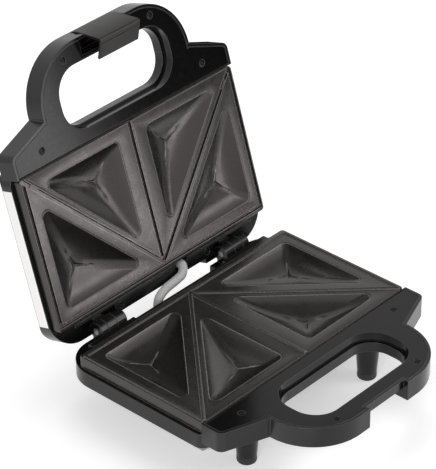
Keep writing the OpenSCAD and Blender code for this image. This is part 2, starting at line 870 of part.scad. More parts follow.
// Cross section of the lid, moved in by g, from height low up
function lid_section(g, low) = let (
  arc_x = housing_x - lid_edge_r,
  arc_z = lid_rise - lid_edge_r,
  r = lid_edge_r - g,
  right = concat(
    [[housing_x - g, low]],
    [for (t = [0:18:90]) [arc_x + r * cos(t), arc_z + r * sin(t)]],
    [for (k = [5:-1:0]) [arc_x * k / 6, crown(arc_x * k / 6, lid_rise - g, arc_x)]]
  )
) concat(right, [for (i = [len(right) - 2:-1:0]) [-right[i].x, right[i].y]]);

module lid_prism(g, low, y0, y1) {
  translate([0, y1, 0]) rotate([90, 0, 0]) linear_extrude(height = y1 - y0)
    polygon(lid_section(g, low));
}

// Plan of the lid body, moved in by g
module lid_plan(g) {
  difference() {
    housing_plan(g, lobe_rear);
    translate([-recess_half - g, lid_rear - g]) square([2 * (recess_half + g), 50]);
  }
}
flange_half = hinge_start - 1.5;
window_x = 97;
window_y = [-12, -107];

module sheet_band(g) {
  intersection() {
    lid_prism(g, sheet_low, -plate_d + sheet_front, -sheet_rear);
    slab(0, 60) lid_plan(g);
  }
}

// Moulded lid, housing and grip in one
module lid_moulding() {
  difference() {
    union() {
      difference() {
        union() {
          intersection() {
            lid_prism(0, lobe_floor, housing_front - 1, lobe_rear + 1);
            slab(0, 60) lid_plan(0);
          }
          lid_side() handle_block();
          block(-flange_half, flange_half, plate_play, lid_rear, rear_floor, lobe_floor + 1);
          block(-strip_out, strip_out, plate_play, plate_play + wall, rim_gap + 1.2, lobe_floor + 1);
        }
        lid_inside();
        difference() {
          lid_side() handle_cavity();
          clip_cheeks();
        }
        // Step under the stainless sheet
        difference() {
          block(-far, far, -plate_d + sheet_front - 0.2, -sheet_rear + 0.2, sheet_low - 0.2, 60);
          lid_prism(sheet_t + 0.1, 0, -plate_d, 0);
        }
      }
      both_sides() {
        intersection() {
          lid_side() screw_post(-lid_rise - 3, lid_boss_z);
          lid_prism(sheet_t + 0.1, 0, -plate_d, 0);
        }
        lid_knuckle();
        translate([hinge_screw_xy.x, hinge_screw_xy.y, rear_floor])
          cylinder(r = 3.4, h = 9);
      }
      lid_side() screw_bosses(cover_screw_r + fastener_gap);
    }
    both_sides() {
      lid_side() screw_post_bore(-lid_rise - 6, lid_boss_z);
      translate([knuckle_x[0] - 1, axis_back, -axis_drop])
        rotate([0, 90, 0]) cylinder(r = pin_r + 0.07, h = knuckle_x[3] - knuckle_x[0] + 2);
      translate([hinge_screw_xy.x, hinge_screw_xy.y, rear_floor - 1]) {
        cylinder(r = cover_head_r + 0.2, h = 2);
        cylinder(r = cover_screw_r + fastener_gap, h = 8);
      }
    }
    lid_side() {
      slab(-handle_drop - 1, 1) opening_outline(opening_step);
      slab(-flange_h - cover_sink - seat, 1) opening_outline(-wall - eps);
    }
    clip_bay();
    block(sleeve_lid_notch[0], sleeve_lid_notch[1], -0.2, lid_rear + 1, 0, rear_floor + wall + 1);
  }
}

module lid_shell() {
  color([0.07, 0.07, 0.075]) swung_open() difference() {
    lid_moulding();
    in_front_of(seam_y);
  }
}

module lid_grip() {
  color([0.07, 0.07, 0.075]) swung_open() intersection() {
    lid_moulding();
    in_front_of(seam_y - seam_gap);
  }
}

// Hollow of the lid body: the plate's seat, the space above it and the window under the sheet
module lid_inside() {
  slab(rim_gap - 2, lid_rise - 1.6) rounded_rect(
    -half_w - plate_play, half_w + plate_play, -plate_d - plate_play, plate_play,
    plate_corner + plate_play
  );
  block(-window_x, window_x, window_y[1], window_y[0], 0, 60);
  difference() {
    slab(lobe_floor + wall, lid_rise - 1.6) lid_plan(wall);
    block(-far, far, -far, plate_play + wall, 0, 60);
  }
  block(-recess_half + wall, recess_half - wall, -1, lid_rear - wall, rear_floor + wall,
        lid_rise - 1.6);
}

module lid_knuckle() {
  x0 = knuckle_x[1] + knuckle_play;
  x1 = knuckle_x[2] - knuckle_play;
  translate([x0, axis_back, -axis_drop]) rotate([0, 90, 0])
    cylinder(r = knuckle_r, h = x1 - x0);
  block(x0, x1, arm_y[0], axis_back + 4.4, -axis_drop, lobe_floor + wall / 2);
}

// Cheeks at both ends of the clip's bay, and its back wall
module clip_cheeks() {
  block(-cheek_half, cheek_half, loop_front, bay_back + wall, rim_gap + 5, handle_drop + 2);
}

module clip_bay() {
  block(-bay_half, bay_half, loop_front - 5, bay_back, -1, bay_roof);
  translate([-cheek_half + 1.5, pivot_y, pivot_h]) rotate([0, 90, 0])
    cylinder(r = clip_pin_r + 0.03, h = 2 * cheek_half - 3);
}

module lid_top_cover() {
  color([0.8, 0.8, 0.8]) swung_open() difference() {
    sheet_band(0);
    lid_prism(sheet_t, 0, -plate_d, 0);
  }
}

module lid_handle_cover() {
  color([0.05, 0.05, 0.055]) swung_open() lid_side()
    handle_cover(cheek_half + 0.4, bay_back + wall + 0.4);
}

module lid_plate() {
  color([0.27, 0.26, 0.26]) swung_open() difference() {
    lid_side() plate_casting(lid_boss_z);
    slab(rim_gap - 1, rim_gap + groove_depth) seal_lines(ridge_w + 2 * groove_play);
  }
}

module lid_element() {
  color([0.55, 0.53, 0.5]) swung_open() lid_side() element();
}

module lid_element_clamps() {
  color([0.7, 0.7, 0.72]) swung_open() lid_side() element_clamps();
}

module lid_reflector() {
  color([0.75, 0.75, 0.76]) swung_open() lid_side() reflector();
}

module lid_plate_screws() {
  color([0.6, 0.6, 0.62]) swung_open() lid_side() plate_screws(lid_boss_z);
}

module lid_cover_screws() {
  color([0.12, 0.12, 0.12]) swung_open() lid_side() cover_screws();
}

module lid_hinge_screws() {
  color([0.12, 0.12, 0.12]) swung_open() both_sides()
    translate([hinge_screw_xy.x, hinge_screw_xy.y, rear_floor]) {
      translate([0, 0, 0.1]) cylinder(r = cover_head_r, h = 0.8);
      translate([0, 0, 0.8]) cylinder(r = cover_screw_r, h = 6);
    }
}

// ---- Latch, on the lid's grip ----

module on_clip_pivot() {
  swung_open() translate([0, pivot_y, pivot_h]) rotate([clip_lean, 0, 0]) children();
}

module latch_clip() {
  barrel_r = clip_pin_r + 1.3;
  inner = 0.2 - barrel_r;
  outer = inner - clip_t;
  color([0.16, 0.16, 0.165]) on_clip_pivot() difference() {
    union() {
      translate([-clip_half, 0, 0]) rotate([90, 0, 90]) linear_extrude(height = clip_w)
        polygon([
          [outer, -0.8], [outer, -clip_len], [inner, -clip_len - 1.5],
          [hook_len + 0.2, -clip_len - 1.1 + hook_rise],
          [hook_len - 0.3, -clip_len + 0.8 + hook_rise], [inner, -clip_len + 0.7],
          [inner, 2.6], [outer + 0.9, 2]
        ]);
      translate([-clip_half, 0, 0]) rotate([0, 90, 0]) cylinder(r = barrel_r, h = clip_w);
    }
    translate([-clip_half - 1, 0, 0]) rotate([0, 90, 0])
      cylinder(r = clip_pin_r + 0.07, h = clip_w + 2);
    block(-spring_gap, spring_gap, inner, barrel_r + 1, -barrel_r - 1, barrel_r + 1);
  }
}
spring_gap = 7;

module latch_pin() {
  color([0.7, 0.7, 0.72]) swung_open()
    translate([-cheek_half + 1.8, pivot_y, pivot_h]) rotate([0, 90, 0])
      cylinder(r = clip_pin_r, h = 2 * cheek_half - 3.6);
}

// Torsion spring round the pin, hidden behind the clip
module latch_spring() {
  coil_r = clip_pin_r + 0.95;
  color([0.75, 0.75, 0.76]) on_clip_pivot() {
    rotate([0, 90, 0]) difference() {
      translate([0, 0, -5]) cylinder(r = coil_r, h = 10);
      translate([0, 0, -6]) cylinder(r = clip_pin_r + 0.3, h = 12);
    }
  }
}

// Woven sleeve with the lid's wires, swept along its route
function sleeve_dir(i) = unit(
  sleeve_route[min(i + 1, len(sleeve_route) - 1)] - sleeve_route[max(i - 1, 0)]
);

module link_sleeve() {
  sides = 10;
  n = len(sleeve_route);
  points = [
    for (i = [0:n - 1]) let (
      d = sleeve_dir(i),
      u = unit(cross(d, [1, 0, 0.2])),
      v = cross(d, u)
    ) for (k = [0:sides - 1])
      sleeve_route[i] + sleeve_r * (cos(360 * k / sides) * u + sin(360 * k / sides) * v)
  ];
  skin = [
    for (i = [0:n - 2]) for (k = [0:sides - 1]) let (
      a = i * sides + k,
      b = i * sides + (k + 1) % sides
    ) each [[a, a + sides, b], [b, a + sides, b + sides]]
  ];
  last = (n - 1) * sides;
  ends = [
    for (k = [1:sides - 2]) each [[0, k, k + 1], [last, last + k + 1, last + k]]
  ];
  color([0.78, 0.78, 0.76]) standing() polyhedron(points = points, faces = concat(skin, ends));
}

base_shell();
base_grip();
base_handle_cover();
base_plate();
base_element();
base_element_clamps();
base_reflector();
base_plate_screws();
base_cover_screws();
thermostat();
thermal_fuse();
terminal_block();
cord_gland();
legs();
foot_tips();
hinge_pins();
lid_shell();
lid_grip();
lid_top_cover();
lid_handle_cover();
lid_plate();
lid_element();
lid_element_clamps();
lid_reflector();
lid_plate_screws();
lid_cover_screws();
lid_hinge_screws();
link_sleeve();
latch_clip();
latch_pin();
latch_spring();
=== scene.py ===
"""Sandwich toaster standing open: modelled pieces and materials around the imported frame.

Pieces are drawn in millimetres in the shut position, as the part's source draws them: x across,
y from the plates' hinge edge (0) towards the handle (negative), z = 0 on the base plate's rim.
BASE and LID carry that space into the frame, the lid's turned open about the hinge line.
"""

import json
import math

import bmesh
import bpy
import numpy as np
from mathutils import Matrix, Vector
from mathutils.geometry import delaunay_2d_cdt

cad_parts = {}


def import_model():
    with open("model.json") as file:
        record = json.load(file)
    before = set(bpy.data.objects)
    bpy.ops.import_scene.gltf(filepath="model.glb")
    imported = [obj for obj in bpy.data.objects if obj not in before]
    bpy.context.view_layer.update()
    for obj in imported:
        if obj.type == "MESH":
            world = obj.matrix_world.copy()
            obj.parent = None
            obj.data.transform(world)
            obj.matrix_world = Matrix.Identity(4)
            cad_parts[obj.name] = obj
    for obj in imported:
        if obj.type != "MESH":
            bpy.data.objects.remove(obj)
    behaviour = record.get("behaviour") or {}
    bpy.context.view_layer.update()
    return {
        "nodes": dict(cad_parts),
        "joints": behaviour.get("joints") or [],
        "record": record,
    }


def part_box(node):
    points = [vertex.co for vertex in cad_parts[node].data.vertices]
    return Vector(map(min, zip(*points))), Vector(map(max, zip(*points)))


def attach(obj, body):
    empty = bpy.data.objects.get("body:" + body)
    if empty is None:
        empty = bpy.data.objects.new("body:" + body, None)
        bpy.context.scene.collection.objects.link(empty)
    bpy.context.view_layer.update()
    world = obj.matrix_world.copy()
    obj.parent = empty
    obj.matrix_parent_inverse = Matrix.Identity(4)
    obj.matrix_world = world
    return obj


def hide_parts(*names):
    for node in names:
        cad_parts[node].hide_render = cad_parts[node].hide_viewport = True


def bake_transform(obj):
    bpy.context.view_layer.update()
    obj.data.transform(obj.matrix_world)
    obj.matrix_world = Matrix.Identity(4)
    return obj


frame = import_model()

MM = 0.001

# ---- Sizes from the frame, in millimetres ----
plate_low, plate_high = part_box("base_plate")
HALF_W = plate_high.x / MM
PLATE_D = (plate_high.y - plate_low.y) / MM
RIDGE_H = 1.2
HINGE_EDGE_Y = plate_high.y
RIM_Z = plate_high.z - RIDGE_H * MM


def joint(name):
    return next(j for j in frame["joints"] if j["name"] == name)


hinge = joint("lid_hinge")
OPEN_ANGLE = math.radians(hinge["range_deg"][1])
AXIS = Vector(hinge["pos_m"])

BASE = Matrix.Translation((0, HINGE_EDGE_Y, RIM_Z)) @ Matrix.Scale(MM, 4)
OPENED = Matrix.Rotation(-OPEN_ANGLE, 4, "X")
LID = Matrix.Translation(AXIS) @ OPENED @ Matrix.Translation(-AXIS) @ BASE

# ---- Sizes of the pieces, in millimetres ----
# Cast plates: the gap between their rims, the casting, its rounded lip, and the screw bosses
RIM_GAP = 0.4
PLATE_T = 2.4
PLATE_SKIRT = 9
PLATE_CORNER = 3
LIP = 1.0
BOSS_X = HALF_W - 12
BOSS_YS = (-7.5, -PLATE_D + 11)
BOSS_R = 4
BOSS_LEN = 14

# Pockets: depth and corner radius, the wall's share of the depth and its bend, the creases
POCKET_DEPTH = 9.3
POCKET_TIP = 5
WALL_SHARE = 0.8
WALL_BEND = 3.0
CREASE_LEN = 18
CREASE_W = 1.0
CREASE_DEPTH = 1.2
ARC_STEPS = 16
# The rim's rounding as (inset, depth), then insets down the wall, and rings on to the middle
RIM_ROUNDING = [(-0.6, 0.0), (-0.35, 0.04), (-0.1, 0.16), (0.1, 0.42)]
WALL_INSETS = [0.35, 0.7, 1.1, 1.6, 2.3, 3.2, 4.2, 5.4, 6.8, 8.2, 9.6, 11]
FLOOR_RINGS = 15

# Seals: ridges on the base's plate, grooves in the lid's
RIDGE_W = 2.6
RIDGE_SHOULDER = 0.5
GROOVE_W = 3.2
GROOVE_SHOULDER = 0.4
GROOVE_DEPTH = 2.0
SHOULDER_STEPS = (0.0, 0.05, 0.2, 0.5, 1.0)
# Where they run: off the plate's sides, off its hinge edge, the diagonals' fork, the front end
RIDGE_SIDE = 3
RIDGE_HINGE = 4.5
RIDGE_FORK = 6.4
RIDGE_END = -PLATE_D + 1
# Fine line scored beside a groove: its distance, section, and shortening at its two ends
SCORE_AT = 3.5
SCORE_W = 0.7
SCORE_DEPTH = 0.3
SCORE_START = 8
SCORE_STOP = 2.5
SCORE_CLEAR = 2

# Lid's housing, and the stainless cover over it
HOUSING_X = HALF_W + 3
LID_RISE = 22
LID_CROWN = 4
LID_EDGE_R = 5
SHEET_T = 0.6
SHEET_LOW = 8.5
SHEET_REAR = -5
SHEET_FRONT = -PLATE_D + 7.5

# Soft tips of the feet: the sole's rounded edge, and the height
FOOT_XYS = ((69, -PLATE_D - 2.5), (72, 3))
SOLE_EDGE_AT = 5.6
SOLE_EDGE_R = 2
FOOT_TIP_H = 5.93

# Screws: pan heads, set a little below the handle's covers
COVER_SINK = 0.6
SCREW_SINK = 1
LOOP_FRONT = -PLATE_D - 78
COVER_SCREWS = [(86, -PLATE_D - 12.5), (46, LOOP_FRONT + 11)]
COVER_SCREW_LEN = 8
HINGE_SCREW_AT = (48, 7, 4.9)
HINGE_SCREW_LEN = 6
SCREW_R = 2.6
SCREW_HEAD_H = 0.8
SHANK_R = 1.5

# Clip of the latch, its lean in degrees when parked, and its torsion spring
CLIP_W = 41.4
CLIP_LEN = 25.2
CLIP_T = 2
CLIP_LEAN = 10
CLIP_CHAMFER = 0.3
CLIP_PIN_R = 1.5
CLIP_BARREL_T = 1.3
HOOK_LEN = 13
HOOK_RISE = 4
COIL_R = 2.1
COIL_WIRE_R = 0.32
COIL_TURNS = 8
COIL_HALF = 4.6

# Woven sleeve: its strands, the length of a strand's turn, and the weave's relief
SLEEVE_R = 3.6
SLEEVE_STRANDS = 10
SLEEVE_PITCH = 13.0
SLEEVE_RELIEF = 0.3
SLEEVE_SIDES = 80
SLEEVE_ROUTE = [
    (-18, 10.4, -20.5), (-18, 10.4, -16), (-18, 10.6, -12), (-17.4, 11, -8), (-14.4, 11.8, -4),
    (-7, 13, -1.6), (-1, 13.8, -1.3), (4.5, 14.4, -1.2), (10, 14.6, -0.4), (14, 15, 0.6),
    (17.4, 17, 2.6), (19.2, 19.4, 4.6), (19.5, 21.4, 5), (19.5, 23.6, 4.6), (19.5, 26, 4),
]

# Mesh building: welding distance, smallest radius of a ring, and sharp edges' angle in degrees
WELD = 0.002
POINT_R = 0.001
SHARP = 35

# ---- Studio: sensor in millimetres, focal length in pixels, angles in degrees, floor in metres ----
PICTURE_LONG_SIDE = 469
SENSOR = 36
FOCAL_PX = 2642
CAMERA_AT = BASE @ Vector((-1210.6, -1128.5, 1133.6))
CAMERA_AZIMUTH = 42.09
CAMERA_DOWN = 33.21
CAMERA_ROLL = -0.27
WORLD_LIGHT = 0.35
FLOOR_SIZE = 6.0
FLOOR_STEPS = 4
FLOOR_SINK = 0.0002
FLOOR_GLOW = 0.45


# ---- Materials ----
class Nodes:
    """A material's node tree, with short ways to add what the materials here share."""

    def __init__(self, name):
        self.material = bpy.data.materials.new(name)
        self.material.use_nodes = True
        self.tree = self.material.node_tree
        self.shader = self.tree.nodes["Principled BSDF"]
        coords = self.add("ShaderNodeTexCoord")
        self.mm = self.add("ShaderNodeMapping")
        self.mm.inputs["Scale"].default_value = (1 / MM,) * 3
        self.link(coords.outputs["Object"], self.mm.inputs["Vector"])

    def add(self, kind, **values):
        node = self.tree.nodes.new(kind)
        for key, value in values.items():
            setattr(node, key, value)
        return node

    def link(self, a, b):
        self.tree.links.new(a, b)

    def stretched(self, scale):
        """Millimetre coordinates stretched by scale, for grain with a direction."""
        mapping = self.add("ShaderNodeMapping")
        mapping.inputs["Scale"].default_value = scale
        self.link(self.mm.outputs[0], mapping.inputs["Vector"])
        return mapping.outputs[0]

    def noise(self, size, detail=3, rough=0.5, vector=None):
        """Noise whose blobs are about size millimetres across."""
        node = self.add("ShaderNodeTexNoise")
        node.inputs["Scale"].default_value = 1 / size
        node.inputs["Detail"].default_value = detail
        node.inputs["Roughness"].default_value = rough
        self.link(vector or self.mm.outputs[0], node.inputs["Vector"])
        return node.outputs["Fac"]

    def ramp(self, value, low, high, color_low, color_high):
        node = self.add("ShaderNodeValToRGB")
        node.color_ramp.elements[0].position = low
        node.color_ramp.elements[1].position = high
        node.color_ramp.elements[0].color = rgba(color_low)
        node.color_ramp.elements[1].color = rgba(color_high)
        self.link(value, node.inputs["Fac"])
        return node.outputs["Color"]

    def span(self, value, low, high, out_low, out_high):
        node = self.add("ShaderNodeMapRange")
        for key, number in zip(
            ("From Min", "From Max", "To Min", "To Max"), (low, high, out_low, out_high)
        ):
            node.inputs[key].default_value = number
        self.link(value, node.inputs["Value"])
        return node.outputs["Result"]

    def bump(self, height, distance_mm, strength=1.0, below=None):
        node = self.add("ShaderNodeBump")
        node.inputs["Distance"].default_value = distance_mm * MM
        node.inputs["Strength"].default_value = strength
        self.link(height, node.inputs["Height"])
        if below:
            self.link(below, node.inputs["Normal"])
        return node.outputs["Normal"]

    def soft_edges(self, radius_mm):
        """Normals that turn over an edge's radius, as on a moulded edge."""
        if not radius_mm:
            return None
        node = self.add("ShaderNodeBevel", samples=6)
        node.inputs["Radius"].default_value = radius_mm * MM
        return node.outputs["Normal"]

    def painted_highlight_share(self, radius_mm):
        """1 on sharp edges, falling to 0 a radius away: where a painted highlight lightens the
        colour.
        """
        bevel = self.add("ShaderNodeBevel", samples=8)
        bevel.inputs["Radius"].default_value = radius_mm * MM
        surface = self.add("ShaderNodeNewGeometry")
        dot = self.add("ShaderNodeVectorMath", operation="DOT_PRODUCT")
        self.link(bevel.outputs["Normal"], dot.inputs[0])
        self.link(surface.outputs["Normal"], dot.inputs[1])
        return self.span(dot.outputs["Value"], 0.8, 0.995, 1, 0)

    def blended(self, share, color_a, color_b):
        """Colour a where the share is 0, colour b where it is 1."""
        node = self.add("ShaderNodeMix", data_type="RGBA")
        self.link(share, node.inputs["Factor"])
        for value, socket in ((color_a, node.inputs["A"]), (color_b, node.inputs["B"])):
            if isinstance(value, bpy.types.NodeSocket):
                self.link(value, socket)
            else:
                socket.default_value = rgba(value)
        return node.outputs["Result"]

    def multiplied(self, color_a, color_b):
        node = self.add("ShaderNodeMix", data_type="RGBA", blend_type="MULTIPLY")
        node.inputs["Factor"].default_value = 1
        self.link(color_a, node.inputs["A"])
        self.link(color_b, node.inputs["B"])
        return node.outputs["Result"]

    def set(self, **values):
        """Sets uniform values or links varying ones, by the shader's socket names."""
        for key, value in values.items():
            socket = self.shader.inputs[key.replace("_", " ")]
            if isinstance(value, bpy.types.NodeSocket):
                self.link(value, socket)
            else:
                socket.default_value = value


def rgba(color):
    values = color if hasattr(color, "__len__") else (color,) * 3
    return (*values, 1)


def coating():
    """Dark grey non-stick coating: fine speckle over a faint orange peel, and a painted highlight
    that lightens its edges.
    """
    n = Nodes("coated_plate")
    speck = n.noise(0.35, 2, 0.6)
    cloud = n.noise(9, 3)
    speckled = n.ramp(speck, 0.38, 0.66, (0.003, 0.0026, 0.0025), (0.010, 0.0088, 0.0085))
    shade = n.multiplied(speckled, n.ramp(cloud, 0.3, 0.7, 0.9, 1.0))
    peel = n.noise(0.7, 2)
    n.set(
        # Light colour along the edges: a painted highlight
        Base_Color=n.blended(n.painted_highlight_share(0.9), shade, (0.34, 0.32, 0.31)),
        Roughness=n.span(cloud, 0.3, 0.7, 0.25, 0.31),
        Specular_IOR_Level=0.75,
        Specular_Tint=rgba((1.0, 0.92, 0.9)),
        Normal=n.bump(peel, 0.012, 0.5, n.bump(speck, 0.01, 0.5)),
    )
    return n.material


def moulded(name, color, roughness, grain, depth, edge=0.0, shine=0.5, highlight_color=None):
    """Moulded plastic with a fine grain, slow changes of gloss, and softened edges lightened by a
    painted highlight.
    """
    n = Nodes(name)
    fine = n.noise(grain, 2, 0.6)
    slow = n.noise(22, 3)
    low = [c * 0.82 for c in color]
    shade = n.ramp(slow, 0.3, 0.7, low, color)
    n.set(
        # The last colour, laid on the edges, is a painted highlight
        Base_Color=n.blended(n.painted_highlight_share(edge), shade, highlight_color) if highlight_color else shade,
        Roughness=n.span(slow, 0.3, 0.7, roughness * 0.9, roughness * 1.1),
        Specular_IOR_Level=shine,
        Normal=n.bump(fine, depth, 0.6, n.soft_edges(edge)),
    )
    return n.material


def glossy(name, color, roughness, edge=0.0):
    """Polished plastic: a slow ripple, handling marks that dull it a little, and a painted highlight
    that lightens its edges.
    """
    n = Nodes(name)
    ripple = n.noise(14, 2)
    marks = n.noise(2.5, 5, 0.7)
    shade = n.ramp(ripple, 0.3, 0.7, [c * 0.8 for c in color], color)
    n.set(
        # Light colour along the edges: a painted highlight
        Base_Color=n.blended(n.painted_highlight_share(edge), shade, (0.12, 0.115, 0.115)),
        Roughness=n.span(marks, 0.45, 0.75, roughness, roughness + 0.08),
        Specular_IOR_Level=0.22,
        Normal=n.bump(ripple, 0.05, 0.35, n.soft_edges(edge)),
    )
    return n.material


def brushed(name, color, roughness, direction, rim=None):
    """Brushed metal, its scratches long in one direction, with painted shade that darkens it where
    it turns away from view.
    """
    n = Nodes(name)
    scratches = n.noise(0.25, 3, 0.7, n.stretched(direction))
    cloud = n.noise(30, 2)
    shade = n.ramp(scratches, 0.3, 0.7, [c * 0.85 for c in color], color)
    # rim is a painted shade colour, laid where the surface turns away from view
    if rim:
        weight = n.add("ShaderNodeLayerWeight")
        shade = n.blended(n.span(weight.outputs["Facing"], 0.55, 0.85, 0, 1), shade, rim)
    n.set(
        Base_Color=shade,
        Metallic=1.0,
        Roughness=n.span(cloud, 0.3, 0.7, roughness * 0.85, roughness * 1.15),
        Normal=n.bump(scratches, 0.012, 0.5),
    )
    return n.material


def woven():
    """Glass-fibre yarn: fine threads across the strands, and grey patches of painted shade for the
    gaps between them.
    """
    n = Nodes("woven_sleeve")
    thread = n.noise(0.3, 3, 0.7)
    gap_shade = n.noise(1.1, 2)
    # The gap pattern darkens the yarn: painted shade between the threads
    shade = n.multiplied(n.ramp(thread, 0.3, 0.7, 0.26, 0.8), n.ramp(gap_shade, 0.35, 0.6, 0.72, 1.0))
    n.set(Base_Color=shade, Roughness=0.8, Normal=n.bump(thread, 0.08, 0.8))
    return n.material


MATERIALS = {
    # Last colour: the painted highlight on the shell's edges
    "shell_black": moulded(
        "shell_black", (0.005, 0.0045, 0.0048), 0.2, 0.45, 0.006, 0.7, 0.36, (0.09, 0.087, 0.087)
    ),
    # edge: width of the painted highlight on the cover's edges
    "cover_gloss": glossy("cover_gloss", (0.006, 0.0055, 0.006), 0.12, edge=0.8),
    "coated_plate": coating(),
    "element_metal": brushed("element_metal", (0.30, 0.27, 0.24), 0.4, (0.05, 1, 1)),
    "steel_bright": brushed("steel_bright", (0.30, 0.295, 0.29), 0.35, (0.2, 1, 1)),
    "ceramic": moulded("ceramic", (0.80, 0.76, 0.68), 0.6, 0.5, 0.03),
    "block_plastic": moulded("block_plastic", (0.82, 0.79, 0.72), 0.45, 0.6, 0.02),
    "rubber_black": moulded("rubber_black", (0.018, 0.018, 0.018), 0.55, 0.4, 0.02),
    "screw_black": brushed("screw_black", (0.022, 0.022, 0.022), 0.25, (1, 1, 1)),
    # Last colour: painted shade where the cover turns away from view
    "stainless": brushed("stainless", (0.88, 0.86, 0.85), 0.26, (0.02, 1, 1), (0.18, 0.175, 0.17)),
    # Last colour: the painted highlight on the clip's edges
    "latch_plastic": moulded(
        "latch_plastic", (0.013, 0.011, 0.0105), 0.38, 0.5, 0.015, 0.5, 0.34, (0.16, 0.15, 0.145)
    ),
    "woven_sleeve": woven(),
}


# ---- Mesh building ----
class Form:
    """Points and faces of one piece, in millimetres in the shut space."""

    def __init__(self):
        self.points = []
        self.faces = []

    def add(self, points, faces):
        first = len(self.points)
        self.points.extend(tuple(float(c) for c in p) for p in points)
        self.faces.extend(tuple(first + i for i in f) for f in faces)

    def loft(self, rings, start=False, end=False):
        """Quads between rings of as many points, with flat caps where asked."""
        n = len(rings[0])
        points = [p for ring in rings for p in ring]
        faces = []
        for i in range(len(rings) - 1):
            a, b = i * n, (i + 1) * n
            faces.extend((a + j, a + (j + 1) % n, b + (j + 1) % n, b + j) for j in range(n))
        if start:
            faces.append(tuple(reversed(range(n))))
        if end:
            faces.append(tuple(range((len(rings) - 1) * n, len(rings) * n)))
        self.add(points, faces)

    def lathe(self, origin, axis, profile, steps, start=True):
        """Turns a profile of (radius, height) round an axis; a radius of 0 closes to a point."""
        axis = Vector(axis).normalized()
        side = axis.orthogonal().normalized()
        across = axis.cross(side)
        rings = []
        for r, h in profile:
            rings.append([
                Vector(origin) + axis * h
                + (side * math.cos(t) + across * math.sin(t)) * max(r, POINT_R)
                for t in (2 * math.pi * k / steps for k in range(steps))
            ])
        self.loft(rings, start=start, end=True)


def piece(form, name, body, slot, place=BASE, sharp=SHARP, replaces=()):
    """Makes the object of a form, welds it, and sets its body, slot and replaced nodes."""
    mesh = bpy.data.meshes.new(name)
    mesh.from_pydata(form.points, [], form.faces)
    bm = bmesh.new()
    bm.from_mesh(mesh)
    bmesh.ops.remove_doubles(bm, verts=bm.verts, dist=WELD)
    bmesh.ops.dissolve_degenerate(bm, edges=bm.edges, dist=WELD / 2)
    bmesh.ops.recalc_face_normals(bm, faces=bm.faces)
    bm.to_mesh(mesh)
    bm.free()
    mesh.transform(place)
    mesh.materials.append(MATERIALS[slot])
    obj = placed(name, mesh)
    smooth(mesh, sharp)
    if body:
        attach(obj, body)
    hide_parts(*replaces)
    return obj


def placed(name, data):
    """A new object of the data, in the scene."""
    obj = bpy.data.objects.new(name, data)
    bpy.context.scene.collection.objects.link(obj)
    return obj


def smooth(mesh, sharp):
    mesh.polygons.foreach_set("use_smooth", [True] * len(mesh.polygons))
    mesh.set_sharp_from_angle(angle=math.radians(sharp))


# ---- Plate layout ----
def unit(v):
    return v / np.linalg.norm(v)


FORK = np.array([0.0, -RIDGE_FORK])
DIAGONAL_END = np.array([HALF_W - RIDGE_SIDE, RIDGE_END])
ALONG = unit(DIAGONAL_END - FORK)
ACROSS = np.array([ALONG[1], -ALONG[0]])
# Sides of the right pockets' triangles, as (normal, distance along it)
FRONT_POCKET = [
    (np.array([1.0, 0.0]), 14.3),
    (np.array([0.0, 1.0]), -PLATE_D + 9),
    (ACROSS, ACROSS @ FORK + 5.5),
]
SIDE_POCKET = [
    (-ACROSS, -ACROSS @ FORK + 8.5),
    (np.array([-1.0, 0.0]), -(HALF_W - 12)),
    (np.array([0.0, -1.0]), 13.2),
]


def meet(a, ca, b, cb):
    """Meeting point of the lines a.p = ca and b.p = cb."""
    return np.linalg.solve(np.array([a, b]), np.array([ca, cb]))


def middle_of(lines):
    """Centre of the circle inside a triangle, and its radius: x, y, inset of the middle."""
    rows = np.array([[n[0], n[1], -1.0] for n, _ in lines])
    return np.linalg.solve(rows, np.array([c for _, c in lines]))


def corner_arcs(lines, inset, radius, steps):
    """Outline of the triangle moved in by inset, its corners rounded."""
    points = []
    for i in range(3):
        (a, ca), (b, cb) = lines[i], lines[(i + 1) % 3]
        centre = meet(a, ca + inset + radius, b, cb + inset + radius)
        start = math.atan2(-a[1], -a[0])
        end = start + (math.atan2(-b[1], -b[0]) - start) % (2 * math.pi)
        for k in range(steps + 1):
            t = start + (end - start) * k / steps
            points.append(centre + radius * np.array([math.cos(t), math.sin(t)]))
    return np.array(points)


def pocket_depth(inset, deepest):
    """Depth of the pocket's surface at an inset from its rim: steep there, nearly flat inside."""
    run = min(max(inset / deepest, 0), 1)
    wall = WALL_SHARE * (1 - (1 - run) ** WALL_BEND)
    return POCKET_DEPTH * (wall + (1 - WALL_SHARE) * run)


def crease(points, centre, corners):
    """Depth of the creases that run from the pocket's middle towards its corners."""
    found = np.zeros(len(points))
    for corner in corners:
        along = unit(corner - centre)
        ahead = (points - centre) @ along
        aside = np.abs((points - centre) @ np.array([-along[1], along[0]]))
        left = np.clip(1 - np.abs(ahead) / CREASE_LEN, 0, 1)
        shape = np.clip(1 - aside / (CREASE_W * left + 0.01), 0, 1) * left**0.6
        found = np.maximum(found, np.where(ahead > -CREASE_W, shape, 0))
    return CREASE_DEPTH * found


